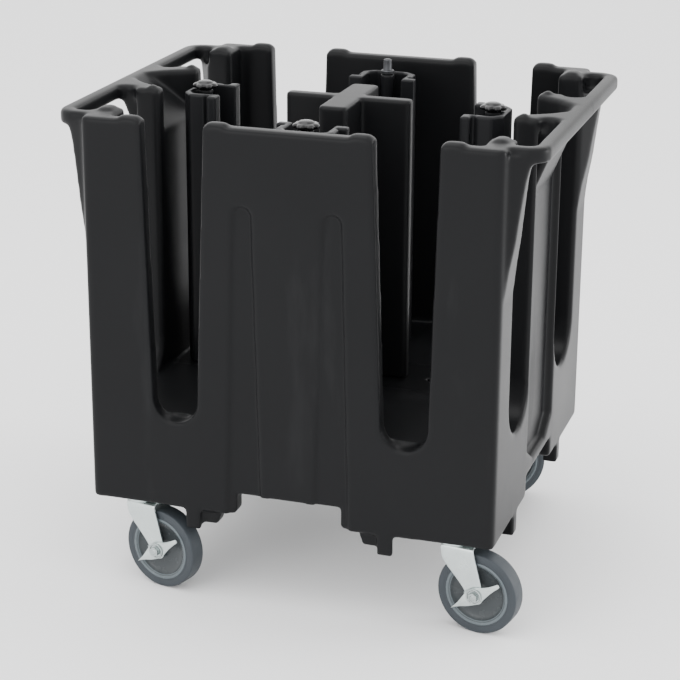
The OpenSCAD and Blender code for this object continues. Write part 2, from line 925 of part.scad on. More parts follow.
brake_lever(-1, -1, angle_fl);  // brake_lever_fl
brake_lever(1, -1, angle_fr);  // brake_lever_fr
caster_bolts();
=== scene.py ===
# %% [markdown]
# # A cart that carries four columns of plates
# The cart is a large charcoal moulding on four casters. A fixed cross stands in its middle, and
# four towers slide toward it or away from it to fit the size of the plates.
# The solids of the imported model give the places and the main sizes. This lesson dresses them with
# rounder and finer pieces, and gives every piece a finish.

# %% Load the solids
import bmesh
import bpy
import json
import math
from mathutils import Matrix, Vector


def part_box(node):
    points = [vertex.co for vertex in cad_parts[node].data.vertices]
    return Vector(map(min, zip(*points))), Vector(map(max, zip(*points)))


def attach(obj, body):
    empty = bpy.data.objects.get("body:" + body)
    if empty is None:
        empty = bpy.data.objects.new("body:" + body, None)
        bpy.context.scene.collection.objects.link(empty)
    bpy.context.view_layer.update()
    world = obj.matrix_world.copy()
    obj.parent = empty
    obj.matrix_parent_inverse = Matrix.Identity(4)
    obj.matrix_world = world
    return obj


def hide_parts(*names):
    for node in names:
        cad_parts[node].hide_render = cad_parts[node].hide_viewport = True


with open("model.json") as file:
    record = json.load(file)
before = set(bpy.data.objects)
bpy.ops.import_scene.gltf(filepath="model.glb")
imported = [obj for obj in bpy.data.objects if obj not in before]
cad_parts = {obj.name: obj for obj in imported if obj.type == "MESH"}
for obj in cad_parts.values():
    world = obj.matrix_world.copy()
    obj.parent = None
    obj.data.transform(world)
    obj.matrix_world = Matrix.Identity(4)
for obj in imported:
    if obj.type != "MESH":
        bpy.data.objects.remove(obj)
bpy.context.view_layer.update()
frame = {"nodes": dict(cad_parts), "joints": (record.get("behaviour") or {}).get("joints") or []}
nodes = frame["nodes"]
joints = {joint["name"]: joint for joint in frame["joints"]}
print("solids:", len(nodes), "joints:", len(joints))

# %% [markdown]
# ## Helpers for every piece
# Lengths are written in millimetres, as a maker reads them, and one factor turns them into the
# metres of the scene. A piece is drawn in its own handy place first. Its place on the cart is then
# written into its mesh, so that the object itself stays at the origin.

# %% Put a finished mesh on the cart
MM = 0.001


def hang(mesh, name, body, stands_for=()):
    piece = bpy.data.objects.new(name, mesh)
    bpy.context.scene.collection.objects.link(piece)
    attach(piece, body)
    if stands_for:
        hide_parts(*stands_for)
    return piece


def finish_piece(bm, name, body, stands_for=(), place=None, crease=35):
    bm.transform(Matrix.Scale(MM, 4))
    if place:
        bm.transform(place)
    mesh = bpy.data.meshes.new(name)
    bm.to_mesh(mesh)
    bm.free()
    mesh.shade_smooth()
    mesh.set_sharp_from_angle(angle=math.radians(crease))
    piece = hang(mesh, name, body, stands_for)
    print(name, len(mesh.polygons), "faces")
    return piece


# %% [markdown]
# A turned part, such as a tyre or a washer, could be cut from cylinders. Spinning its section is
# shorter and keeps the true curve. The section is a few points in radius and height.

# %% Spin a section round Z
def spun(sections, steps=72):
    bm = bmesh.new()
    for section in sections:
        points = [bm.verts.new((radius, 0, height)) for radius, height in section]
        edges = [bm.edges.new(pair) for pair in zip(points, points[1:] + points[:1])]
        bmesh.ops.spin(bm, geom=points + edges, cent=(0, 0, 0), axis=(0, 0, 1),
                       angle=math.tau, steps=steps, use_merge=True, use_duplicate=False)
    bmesh.ops.remove_doubles(bm, verts=bm.verts, dist=0.001)
    bmesh.ops.recalc_face_normals(bm, faces=bm.faces)
    return bm


def both_sides(half):
    return half + [(radius, -height) for radius, height in reversed(half)]


# %% [markdown]
# ## The moulded body
# The real body is blown or spun from one skin of polyethylene, so no edge on it is sharp. A bevel
# on each edge of the solid would fail where many small edges meet. A voxel remesh gives an even
# skin instead, and smoothing that skin rounds every edge alike, as the melt does in the mould.

# %% Copy a solid as one closed skin
def skin_of(node):
    bm = bmesh.new()
    bm.from_mesh(nodes[node].data)
    bmesh.ops.remove_doubles(bm, verts=bm.verts, dist=1e-5)
    mesh = bpy.data.meshes.new(node + "_skin")
    bm.to_mesh(mesh)
    bm.free()
    work = bpy.data.objects.new(node + "_skin", mesh)
    bpy.context.scene.collection.objects.link(work)
    return work


def bake(work):
    graph = bpy.context.evaluated_depsgraph_get()
    mesh = bpy.data.meshes.new_from_object(work.evaluated_get(graph))
    work.modifiers.clear()
    work.data = mesh
    work.vertex_groups.clear()
    return mesh


# %% [markdown]
# Smoothing every point alike would also melt the small details away. A vertex group says how
# freely each point moves: a share of 1 lets the smoothing work in full, and a small share keeps
# the point nearly where it is. After the smoothing the mesh is thinned, because flat walls need
# few faces.

# %% Round a skin, then thin its mesh
def soften(work, voxel, passes, faces, hold=None):
    remesh = work.modifiers.new("even skin", "REMESH")
    remesh.mode = "VOXEL"
    remesh.voxel_size = voxel * MM
    mesh = bake(work)
    group = work.vertex_groups.new(name="soft")
    for point in mesh.vertices:
        group.add([point.index], hold(point.co) if hold else 1.0, "REPLACE")
    smooth = work.modifiers.new("melted edges", "SMOOTH")
    smooth.factor = 0.5
    smooth.iterations = passes
    smooth.vertex_group = "soft"
    before = len(mesh.polygons) * 2
    if before > faces:
        thin = work.modifiers.new("fewer faces", "DECIMATE")
        thin.ratio = faces / before
    mesh = bake(work)
    bpy.data.objects.remove(work)
    mesh.shade_smooth()
    return mesh


# %% [markdown]
# Three heights of the moulding are needed: its lower edge, its deck and its rim. The rim lies one
# pad below the top of the solid's box, and the other two are design heights of the cart.

# %% Measure the body
FOOT, DECK, PAD = 163.3, 165, 6
low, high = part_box("cart_body")
foot_z = FOOT * MM
deck_z = foot_z + DECK * MM
rim_z = high.z - PAD * MM
half_depth = high.y
print("body from", [round(v, 3) for v in low], "to", [round(v, 3) for v in high])

# %% [markdown]
# Three details are crisper than the rims of the walls: the small tabs under the lower edge, the
# corner between deck and wall where the foot of a tower slides in, and the shallow flutes in the
# front and back panels. Each is found by its place, and gets its own share.

# %% Say where the smoothing is held back
TAB_HOLD, CORNER_HOLD, FLUTE_HOLD = 0.25, 0.1, 0.2
TAB_FROM = 4
CORNER_BAND, TOWER_PATH = 8, 44
FLUTE_X, FLUTE_REACH, FLUTE_DEPTH, FLUTE_FROM_RIM = 79, 46, 9, 100


def small_detail_hold(point):
    if point.z < foot_z - TAB_FROM * MM:
        return TAB_HOLD
    in_path = min(abs(point.x), abs(point.y)) < TOWER_PATH * MM
    if in_path and abs(point.z - deck_z) < CORNER_BAND * MM:
        return CORNER_HOLD
    across = abs(abs(point.x) - FLUTE_X * MM) < FLUTE_REACH * MM
    shallow = abs(abs(point.y) - half_depth) < FLUTE_DEPTH * MM
    below = point.z < rim_z - FLUTE_FROM_RIM * MM
    return FLUTE_HOLD if across and shallow and below else 1.0


print("details held at", TAB_HOLD, CORNER_HOLD, FLUTE_HOLD)

# %% [markdown]
# The cells of the body's skin are small enough to keep its tabs and flutes. They give more faces
# than its large plain walls need, so the thinned mesh is held under 200,000 triangles.

# %% Make the body shell
body_mesh = soften(skin_of("cart_body"), voxel=3.4, passes=16, faces=190000, hold=small_detail_hold)
body_shell = hang(body_mesh, "body_shell", "cart", ("cart_body",))
print("body shell:", len(body_mesh.polygons), "faces")

# %% [markdown]
# The fixed cross in the middle is a moulding of its own. It has no fine detail, so its skin is
# smoothed in full everywhere.

# %% Make the centre cross
cross_mesh = soften(skin_of("centre_cross"), voxel=3.0, passes=9, faces=30000)
cross = hang(cross_mesh, "cross_shell", "cart", ("centre_cross",))
print("cross:", len(cross_mesh.polygons), "faces")

# %% [markdown]
# ## The sliding towers
# A tower is a smaller moulding with crisper edges. Its skin has smaller cells and is smoothed at
# less than half strength, which leaves a small round on each edge. Its foot is smoothed in full,
# so that its edge is round enough to slide into the corner of the deck.

# %% Make the four towers
TOWER_HOLD, FOOT_BAND = 0.42, 9


def round_foot(point):
    return 1.0 if point.z < deck_z + FOOT_BAND * MM else TOWER_HOLD


def tower_shell(side):
    node = "tower_" + side
    mesh = soften(skin_of(node), voxel=2.4, passes=12, faces=60000, hold=round_foot)
    return hang(mesh, "tower_shell_" + side, node, (node,))


towers = [tower_shell(side) for side in ("left", "right", "front", "back")]
print("towers:", [len(tower.data.polygons) for tower in towers])

# %% [markdown]
# ## Clamp knobs
# Each knob is a glossy cap with seven finger lobes and a domed middle. It is spun from its section,
# and then the points outside the dome are drawn in between the lobes, more the further out they
# lie. That keeps the dome round and leaves soft hollows for the fingers.

# %% Shape the knobs
LOBES, DOME_R, HOLLOW, AXIS_R = 7, 14, 0.17, 0.05
KNOB_STEPS = 140


def knob_section(radius, height):
    dome = [(AXIS_R, height), (5, height - 0.1), (10, height - 0.9), (13.2, height - 2.4)]
    neck = [(DOME_R, height - 3.6), (15.2, height - 4.2), (17.5, height - 4.4)]
    rim = [(radius - 3, height - 5.2), (radius - 1, height - 6.6), (radius, height - 8.6),
           (radius - 0.4, height - 11.2), (radius - 2.4, height - 12.6)]
    skirt = [(17, height - 13), (15.5, 0.4), (15, 0), (AXIS_R, 0)]
    return dome + neck + rim + skirt


def knob(side):
    low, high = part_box("knob_" + side)
    middle = (low + high) / 2
    radius = (high.x - low.x) / 2 / MM
    bm = spun([knob_section(radius, (high.z - low.z) / MM)], KNOB_STEPS)
    for point in bm.verts:
        away = math.hypot(point.co.x, point.co.y)
        if away > DOME_R:
            wave = 0.5 - 0.5 * math.cos(LOBES * math.atan2(point.co.y, point.co.x))
            share = min((away - DOME_R) / (radius - DOME_R), 1)
            pull = 1 - HOLLOW * share * wave ** 2
            point.co.x *= pull
            point.co.y *= pull
    place = Matrix.Translation((middle.x, middle.y, low.z))
    return finish_piece(bm, "knob_cap_" + side, "knob_" + side,
                        ("knob_" + side,), place)


knobs = [knob(side) for side in ("left", "right", "front")]

# %% [markdown]
# The back tower has no knob on its rod. A dark sleeve nut and a rounded pin end show there, and
# both are turned in one section: the wide nut on the top of the tower, and the pin above it.

# %% Turn the bare pin of the back tower
SMALL_STEPS = 48
low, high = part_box("pin_head_back")
pin_top = high.z / MM
pin_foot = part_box("tower_back")[1].z / MM + 0.4
sleeve = [(5.1, pin_foot), (12, pin_foot), (12.6, pin_foot + 0.6), (12.6, pin_foot + 5),
          (11.4, pin_foot + 6.4), (8.8, pin_foot + 7.2), (8.2, pin_foot + 8.4)]
pin_end = [(7.9, pin_top - 5), (7.5, pin_top - 2.2), (5.6, pin_top - 0.6), (3, pin_top - 0.1),
           (AXIS_R, pin_top), (AXIS_R, pin_top - 8), (5.1, pin_top - 9)]
pin_place = Matrix.Translation(((low.x + high.x) / 2, (low.y + high.y) / 2, 0))
pin = finish_piece(spun([sleeve + pin_end], SMALL_STEPS), "pin_cap_back", "tower_back",
                   ("pin_head_back",), pin_place)

# %% [markdown]
# ## Casters
# All four casters are alike, apart from the brake lever on the two in front. Each is drawn once,
# with its swivel axis on Z and its wheel trailing toward +X, and is then turned and moved. The
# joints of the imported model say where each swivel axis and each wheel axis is.

# %% Find the casters from their joints
CORNERS = ("fl", "fr", "bl", "br")
BRAKED = ("fl", "fr")


def caster_places(corner):
    swivel = Vector(joints[f"caster_{corner}_swivel"]["pos_m"])
    axle = Vector(joints[f"wheel_{corner}_spin"]["pos_m"])
    turn = math.atan2(axle.y - swivel.y, axle.x - swivel.x)
    turned = Matrix.Rotation(turn, 4, "Z")
    upright = Matrix.Translation((swivel.x, swivel.y, 0)) @ turned
    wheel = Matrix.Translation(axle) @ turned @ Matrix.Rotation(math.pi / 2, 4, "X")
    return upright, wheel


UPRIGHT = {corner: caster_places(corner)[0] for corner in CORNERS}
ON_WHEEL = {corner: caster_places(corner)[1] for corner in CORNERS}
wheel_r = joints["wheel_fl_spin"]["pos_m"][2] / MM
print("wheel radius", round(wheel_r, 1))

# %% [markdown]
# ### Tyres
# The tyre is blue-grey rubber with a slightly crowned tread, a fine groove near the hub and tight
# round shoulders. Points on an arc give the shoulder, and the rest of the section is nearly
# straight. Only half of the section is drawn, and its mirror closes it.

# %% Spin the tyres
def arc(centre, radius, start, end, count):
    angles = [math.radians(start + (end - start) * k / count) for k in range(count + 1)]
    return [(centre[0] + radius * math.cos(a), centre[1] + radius * math.sin(a)) for a in angles]


HALF_W, SHOULDER, WHEEL_STEPS = 16, 2.6, 96
side_wall = [(56, 14), (57.6, 15.5), (60, 15.9), (61, 15.5), (62, 15.9), (66, HALF_W)]
shoulder = arc((wheel_r - 2.8, HALF_W - SHOULDER), SHOULDER, 84, 8, 6)
tyre_half = side_wall + shoulder + [(wheel_r - 0.1, 8), (wheel_r, 2)]


def tyre(corner):
    return finish_piece(spun([both_sides(tyre_half)], WHEEL_STEPS), "tyre_ring_" + corner,
                        "wheel_" + corner, ("tyre_" + corner,), ON_WHEEL[corner])


tyres = [tyre(corner) for corner in CORNERS]

# %% [markdown]
# ### Hubs
# The hub is a dished plastic wheel with a boss for the bearing. A lighter lip with one step shows
# where it meets the tyre. The lip is a piece of its own, because it has its own colour.

# %% Spin the hubs and their lips
boss = [(5.1, 19.6), (10.4, 19.6), (12.6, 19), (13.8, 17.4), (14.6, 13)]
dish = [(16.5, 8.8), (20, 6.6), (28, 5.6), (37, 6), (44, 7.8), (48.4, 10.8), (50.4, 13.6),
        (51.6, 15), (56, 15.2)]
near_lip = [(49.8, 12.6), (50.2, 14.2), (51.2, 14.8), (52.4, 15), (52.9, 15.8), (53.8, 16.4),
            (55.4, 16.6), (56.9, 16.4), (57.6, 15.8), (57, 15)]
far_lip = [(radius, -height) for radius, height in near_lip]


def hub(corner):
    return finish_piece(spun([both_sides(boss + dish)], WHEEL_STEPS), "hub_dish_" + corner,
                        "wheel_" + corner, ("hub_" + corner,), ON_WHEEL[corner])


def lip(corner):
    return finish_piece(spun([near_lip, far_lip], WHEEL_STEPS), "hub_lip_" + corner,
                        "wheel_" + corner, (), ON_WHEEL[corner])


hubs = [hub(corner) for corner in CORNERS]
lips = [lip(corner) for corner in CORNERS]

# %% [markdown]
# ### Forks
# A fork is one pressed sheet of steel: two legs and the crown between them. A grid of points is
# laid along the sheet and bent to the U shape, each row as wide as the sheet is there. Solidify
# then gives it the thickness of the sheet, and a bevel breaks its edges.

# %% Say how wide the sheet is at each height
FRONT_EDGE = [(57.2, 46), (60, 39.5), (66, 35.4), (73, 34), (84, 28), (96, 18), (108, 7),
              (118, -2.5), (126, -9), (134, -13), (142, -15), (150, -15.4), (158, -15.4)]
BACK_EDGE = [(57.2, 54), (60, 60.5), (66, 64.6), (73, 66), (80, 65), (151, 45), (158, 44)]


def along(table, height):
    if height <= table[0][0]:
        return table[0][1]
    for (z0, x0), (z1, x1) in zip(table, table[1:]):
        if height <= z1:
            return x0 + (x1 - x0) * (height - z0) / (z1 - z0)
    return table[-1][1]


print("the sheet is", BACK_EDGE[-1][1] - FRONT_EDGE[-1][1], "mm wide at the crown")

# %% [markdown]
# The path of the sheet, seen from the front, goes up one leg, round a bend, over the crown and
# down the other leg. The rows lie close together at the foot of the leg, where its end is round.

# %% Lay out the path of the sheet
LEG_FOOT, ROUND_TOP, LEG_Y, CROWN_TOP, BEND = 57.2, 61, 22, 157, 7
FOOT_ROWS, FOOT_STEP, LEG_STEPS = 5, 0.6, 16
bend_z = CROWN_TOP - BEND
leg = [(-LEG_Y, LEG_FOOT + FOOT_STEP * k) for k in range(FOOT_ROWS)]
leg += [(-LEG_Y, ROUND_TOP + (bend_z - ROUND_TOP) * k / LEG_STEPS) for k in range(LEG_STEPS + 1)]
for degrees in (18, 36, 54, 72, 90):
    a = math.radians(degrees)
    leg.append((-LEG_Y + BEND - BEND * math.cos(a), bend_z + BEND * math.sin(a)))
crown = [(-8, CROWN_TOP), (0, CROWN_TOP), (8, CROWN_TOP)]
sheet_path = leg + crown + [(-y, z) for y, z in reversed(leg)]
print("points along the sheet:", len(sheet_path))

# %% [markdown]
# The grid has one row of points for each point of the path. Every row is stretched between the
# front edge and the back edge of the sheet at its height, so the legs taper as the real ones do.

# %% Bend the forks
SHEET, BROKEN_EDGE, ACROSS = 3.6, 0.7, 10


def fork(corner):
    rows = len(sheet_path)
    bm = bmesh.new()
    bmesh.ops.create_grid(bm, x_segments=rows - 1, y_segments=ACROSS, size=0.5)
    for point in bm.verts:
        row = round((point.co.x + 0.5) * (rows - 1))
        share = point.co.y + 0.5
        y, z = sheet_path[row]
        front, back = along(FRONT_EDGE, z), along(BACK_EDGE, z)
        point.co = (front + (back - front) * share, y, z)
    bmesh.ops.recalc_face_normals(bm, faces=bm.faces)
    piece = finish_piece(bm, "fork_sheet_" + corner, "caster_" + corner,
                         ("fork_" + corner,), UPRIGHT[corner], crease=40)
    thick = piece.modifiers.new("sheet", "SOLIDIFY")
    thick.thickness = SHEET * MM
    thick.offset = 0
    edge = piece.modifiers.new("broken edge", "BEVEL")
    edge.width = BROKEN_EDGE * MM
    edge.segments = 2
    edge.limit_method = "ANGLE"
    edge.angle_limit = math.radians(50)
    return piece


forks = [fork(corner) for corner in CORNERS]

# %% [markdown]
# ### Bearing races and axles
# A pressed ring with two steps sits on the crown of each fork. It is round, so it is spun too.

# %% Spin the races
RACE_STEPS = 64
race_section = [(7, 158), (28.4, 158), (29.4, 158.8), (29.4, 161.2), (27.6, 162.2), (26.8, 163.6),
                (25.6, 164.9), (7, 165)]


def race(corner):
    return finish_piece(spun([race_section], RACE_STEPS), "race_ring_" + corner,
                        "caster_" + corner, (), UPRIGHT[corner])


races = [race(corner) for corner in CORNERS]

# %% [markdown]
# The axle is a bolt with a washer and a nut at each end. The near washer is dished, so that a dark
# ring shows round the nut. A nut starts as a six-sided prism, and a bevel rounds the edges of its
# two ends. Where a caster has a brake lever, the washer and nut sit on the lever, further out.

# %% Make the axles with their washers and nuts
ON_FORK, LEVER_SPACE, PLAY = 24, 3.1, 0.3
NUT_R, NUT_BEVEL, FAR_END = 9, 0.9, -24.3


def nut(bm, foot, top):
    made = bmesh.ops.create_cone(bm, cap_ends=True, segments=6, radius1=NUT_R, radius2=NUT_R,
                                 depth=top - foot,
                                 matrix=Matrix.Translation((0, 0, (foot + top) / 2)))
    edges = dict.fromkeys(edge for point in made["verts"] for edge in point.link_edges)
    ends = [edge for edge in edges if abs(edge.verts[0].co.z - edge.verts[1].co.z) < 0.01]
    bmesh.ops.bevel(bm, geom=ends, offset=NUT_BEVEL, offset_type="OFFSET", segments=2,
                    profile=0.5, affect="EDGES", material=-1)


def axle(corner):
    near, far = ON_FORK + (LEVER_SPACE if corner in BRAKED else PLAY), FAR_END
    shaft = [(AXIS_R, far - 9), (3.6, far - 9), (4.6, far - 8), (4.9, far - 7), (4.9, near + 7),
             (4.4, near + 8), (3.4, near + 8.8), (AXIS_R, near + 8.8)]
    near_washer = [(4.8, near), (13.8, near), (14.6, near + 0.6), (14.3, near + 1.9),
                   (12.8, near + 2.3), (11.8, near + 1.9), (11.2, near + 0.6), (4.8, near + 0.6)]
    far_washer = [(4.8, far - 1.5), (10.2, far - 1.5), (10.5, far - 1), (10.5, far), (4.8, far)]
    bm = spun([shaft, near_washer, far_washer], SMALL_STEPS)
    nut(bm, near + 0.7, near + 7.4)
    nut(bm, far - 7.4, far - 1.5)
    return finish_piece(bm, "axle_set_" + corner, "caster_" + corner,
                        ("axle_" + corner,), ON_WHEEL[corner], crease=30)


axles = [axle(corner) for corner in CORNERS]

# %% [markdown]
# ### Brake levers
# The lever is a pressed plate with a wing on each side of the nut. The wings taper to their tips,
# one to a blunt end and one to a point. The outline is one face, extruded to the thickness of the
# plate. Small teeth stand in a row on the upper edge of one wing and above the nut.

# %% Shape the brake levers
LOWER_EDGE = [(-46, -3.2), (-34, -6.4), (-22, -10.6), (-10, -13.4), (0, -14), (10, -13),
              (20, -9.8), (30, -6.8), (42, -4.4), (51, -3.4)]
BLUNT_TIP = [(53.6, -2), (54, 1.6), (52.6, 3.8)]
UPPER_EDGE = [(46, 4), (34, 5.4), (24, 8), (14, 11.6), (6, 13.4), (-6, 13.4), (-14, 11),
              (-24, 6.6), (-34, 2.4), (-44, -0.6)]
POINTED_TIP = [(-53.6, -3)]
WING_TEETH = [(x, 13.6 - 0.21 * x) for x in range(15, 40, 3)]
NUT_TEETH = [(x, 15.2) for x in range(-12, 7, 3)]
LEVER_FOOT, LEVER_PLATE, LEVER_BEVEL, TILT = 24.5, 2.2, 0.6, 33
TOOTH, TOOTH_DROP, TOOTH_MIDDLE = (1.5, 3.6, 1.6), 2.6, 26.4


def lever(corner):
    bm = bmesh.new()
    outline = LOWER_EDGE + BLUNT_TIP + UPPER_EDGE + POINTED_TIP
    flat = bm.faces.new([bm.verts.new((x, y, LEVER_FOOT)) for x, y in outline])
    raised = bmesh.ops.extrude_face_region(bm, geom=[flat])["geom"]
    top = [part for part in raised if isinstance(part, bmesh.types.BMFace)]
    bmesh.ops.translate(bm, verts=top[0].verts, vec=(0, 0, LEVER_PLATE))
    rims = [edge for edge in bm.edges if edge.calc_face_angle(0) > math.radians(60)]
    bmesh.ops.bevel(bm, geom=rims, offset=LEVER_BEVEL, offset_type="OFFSET", segments=2,
                    profile=0.5, affect="EDGES", material=-1)
    for x, y in WING_TEETH + NUT_TEETH:
        tooth = bmesh.ops.create_cube(bm, size=1)["verts"]
        bmesh.ops.scale(bm, vec=TOOTH, verts=tooth)
        bmesh.ops.translate(bm, vec=(x, y - TOOTH_DROP, TOOTH_MIDDLE), verts=tooth)
    bmesh.ops.recalc_face_normals(bm, faces=bm.faces)
    place = ON_WHEEL[corner] @ Matrix.Rotation(math.radians(TILT), 4, "Z")
    return finish_piece(bm, "lever_plate_" + corner, "brake_" + corner,
                        ("brake_lever_" + corner,), place, crease=30)


levers = [lever(corner) for corner in BRAKED]

# %% [markdown]
# ## Writing finishes as sums
# A finish is a tree of shader nodes. Wired by hand it takes many lines, so a small class wraps one
# output socket, and plus, minus and times on it add the Math nodes.

# %% A socket that can be used in sums
class Wire:
    def __init__(self, tree, socket):
        self.tree, self.socket = tree, socket

    def sum_with(self, operation, first, second):
        node = self.tree.nodes.new("ShaderNodeMath")
        node.operation = operation
        for slot, value in zip(node.inputs, (first, second)):
            if isinstance(value, Wire):
                self.tree.links.new(value.socket, slot)
            else:
                slot.default_value = value
        return Wire(self.tree, node.outputs[0])

    def __add__(self, other):
        return self.sum_with("ADD", self, other)

    def __radd__(self, other):
        return self.sum_with("ADD", other, self)

    def __sub__(self, other):
        return self.sum_with("SUBTRACT", self, other)

    def __rsub__(self, other):
        return self.sum_with("SUBTRACT", other, self)

    def __mul__(self, other):
        return self.sum_with("MULTIPLY", self, other)

    def __rmul__(self, other):
        return self.sum_with("MULTIPLY", other, self)


# %% [markdown]
# Any other node comes from one method. It sets the node's own settings first, because some of them
# change its sockets, and then gives each socket a value or a wire.

# %% A finish and its nodes
class Finish:
    def __init__(self, name):
        self.material = bpy.data.materials.new(name)
        self.material.use_nodes = True
        self.tree = self.material.node_tree
        self.shader = self.tree.nodes["Principled BSDF"]
        self.place = self.add("ShaderNodeTexCoord", out="Object")

    def add(self, kind, settings=(), sockets=(), out=0):
        node = self.tree.nodes.new(kind)
        for key, value in dict(settings).items():
            if key == "stops":
                self.set_stops(node.color_ramp, value)
            else:
                setattr(node, key, value)
        for key, value in dict(sockets).items():
            self.feed(node.inputs[key], value)
        return Wire(self.tree, node.outputs[out])

    def set_stops(self, ramp, stops):
        while len(ramp.elements) < len(stops):
            ramp.elements.new(0.5)
        for element, (position, shade) in zip(ramp.elements, stops):
            element.position = position
            element.color = (shade, shade, shade, 1)

    def feed(self, slot, value):
        if isinstance(value, Wire):
            self.tree.links.new(value.socket, slot)
        else:
            slot.default_value = value

    def paint(self, **sockets):
        for key, value in sockets.items():
            self.feed(self.shader.inputs[key.replace("_", " ")], value)
        return self.material

    def noise(self, scale, detail=2.0, stretch=(1, 1, 1), rough=0.5):
        where = self.add("ShaderNodeMapping", {}, {"Vector": self.place, "Scale": stretch})
        looks = {"Vector": where, "Scale": scale, "Detail": detail, "Roughness": rough}
        return self.add("ShaderNodeTexNoise", {}, looks)

    def steps(self, value, stops):
        return self.add("ShaderNodeValToRGB", {"stops": stops}, {"Fac": value})

    def mix(self, share, first, second):
        colours = {0: share, 6: first, 7: second}
        return self.add("ShaderNodeMix", {"data_type": "RGBA"}, colours, out=2)

    def bump(self, height, strength, distance):
        relief = {"Height": height, "Strength": strength, "Distance": distance}
        return self.add("ShaderNodeBump", {}, relief)


# %% [markdown]
# ### Charcoal moulded plastic
# The body is satin polyethylene. Up close it has a fine leather-like grain, and from further off
# its shade drifts a little where the skin cooled faster. Handling leaves long, faint, paler scuffs.
# The grain and slow waves of the surface go into one bump, and the scuffs change colour and gloss.

# %% Finishes for the body, the cross and the towers
SCUFF = (0.028, 0.0287, 0.0305, 1)


def moulded(name, deep, pale, gloss, grain):
    finish = Finish(name)
    drift = finish.noise(3.2, 3.0)
    grains = finish.noise(620, 2.0)
    waves = finish.noise(16, 2.0)
    streaks = finish.noise(9, 6.0, (1, 1, 0.16), 0.62)
    scuffs = finish.steps(streaks, [(0.60, 0.0), (0.74, 1.0)])
    worn = finish.mix(scuffs * 0.22, finish.mix(drift, deep, pale), SCUFF)
    height = grains * grain + waves * 1.1
    return finish.paint(Base_Color=worn, Roughness=gloss + (drift - 0.5) * 0.16 + scuffs * 0.1,
                        Normal=finish.bump(height, 0.5, 0.0005), Specular_IOR_Level=0.12)


body_finish = moulded("charcoal_moulding", (0.0042, 0.0044, 0.0049, 1),
                      (0.0065, 0.0067, 0.0074, 1), gloss=0.36, grain=0.55)
tower_finish = moulded("tower_moulding", (0.0065, 0.0068, 0.0076, 1),
                       (0.0095, 0.0098, 0.0108, 1), gloss=0.34, grain=0.35)
print("plastics made")

# %% [markdown]
# ### Zinc plate
# Plated steel is a metal that mirrors softly. Real plating is uneven: it has faint clouds, fine
# rolling lines and small dull spots. The clouds and the spots change both the tint and the gloss,
# and the lines go into the bump. The axle bolts get a darker and patchier version: its darker tone
# is painted shade, which makes the nut and its washer stand out from the lever, and its patches are
# uneven plating. The bare pin gets dark plating.

# %% Finish for the steel parts
def plated(name, bright, dull, gloss):
    finish = Finish(name)
    clouds = finish.noise(34, 4.0)
    lines = finish.noise(160, 3.0, (1, 1, 7))
    spots = finish.steps(finish.noise(240, 2.0), [(0.62, 0.0), (0.72, 1.0)])
    tint = finish.mix(clouds * 0.7 + spots * 0.3, bright, dull)
    return finish.paint(Base_Color=tint, Metallic=1.0,
                        Roughness=gloss + clouds * 0.14 + spots * 0.12,
                        Normal=finish.bump(lines + clouds * 0.6, 0.18, 0.0003))


zinc_finish = plated("bright_zinc", (0.63, 0.69, 0.68, 1), (0.42, 0.465, 0.46, 1), gloss=0.22)
# The axle zinc is darker than the fork zinc: painted shade round the nut and its washer.
bolt_shade_finish = plated("bolt_zinc_painted_shade", (0.50, 0.55, 0.545, 1), (0.20, 0.22, 0.22, 1), gloss=0.16)
pin_finish = plated("dark_plating", (0.07, 0.072, 0.076, 1), (0.035, 0.036, 0.039, 1), gloss=0.34)
print("metals made")

# %% [markdown]
# ### Knobs, hubs and tyres
# The knobs are polished black plastic with a clear gloss and faint smears from hands. The hub is
# satin grey, its lip is paler, and the rubber of the tyre is blue-grey. These three have a soft
# bloom and small dusty patches, so they share one recipe.

# %% Finishes for the small parts
def glossy(name, shade, smeared):
    finish = Finish(name)
    smears = finish.noise(70, 4.0)
    return finish.paint(Base_Color=finish.mix(smears, shade, smeared),
                        Roughness=0.10 + smears * 0.14,
                        Specular_IOR_Level=0.3, Coat_Weight=0.1, Coat_Roughness=0.06,
                        Normal=finish.bump(finish.noise(90, 1.0), 0.05, 0.0003))


def satin(name, deep, pale, gloss, fine):
    finish = Finish(name)
    bloom = finish.noise(26, 4.0)
    grains = finish.noise(fine, 3.0)
    dust = finish.steps(finish.noise(60, 5.0), [(0.5, 0.0), (0.7, 1.0)])
    tint = finish.mix(bloom * 0.75 + dust * 0.25, deep, pale)
    return finish.paint(Base_Color=tint, Roughness=gloss + dust * 0.12 + (bloom - 0.5) * 0.1,
                        Specular_IOR_Level=0.25,
                        Normal=finish.bump(grains + bloom * 0.5, 0.3, 0.0004))


knob_finish = glossy("polished_black", (0.003, 0.003, 0.0034, 1), (0.006, 0.006, 0.0065, 1))
hub_finish = satin("hub_grey", (0.041, 0.0465, 0.0495, 1), (0.051, 0.058, 0.062, 1),
                   gloss=0.24, fine=500)
lip_finish = satin("lip_grey", (0.084, 0.100, 0.109, 1), (0.115, 0.137, 0.149, 1),
                   gloss=0.22, fine=500)
tyre_finish = satin("blue_grey_rubber", (0.0295, 0.0350, 0.0405, 1), (0.041, 0.0485, 0.056, 1),
                    gloss=0.48, fine=700)
print("small finishes made")

# %% [markdown]
# ## Giving out the finishes
# Each new piece gets its finish as its only material. Bolts, plates, rods and clamp feet are still
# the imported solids, and they take the zinc plate in place of their plain colour. Their meshes stay
# as they are, so only the materials in their slots change.

# %% Put a finish on every piece
def dress(pieces, finish):
    for piece in pieces:
        piece.data.materials.clear()
        piece.data.materials.append(finish)


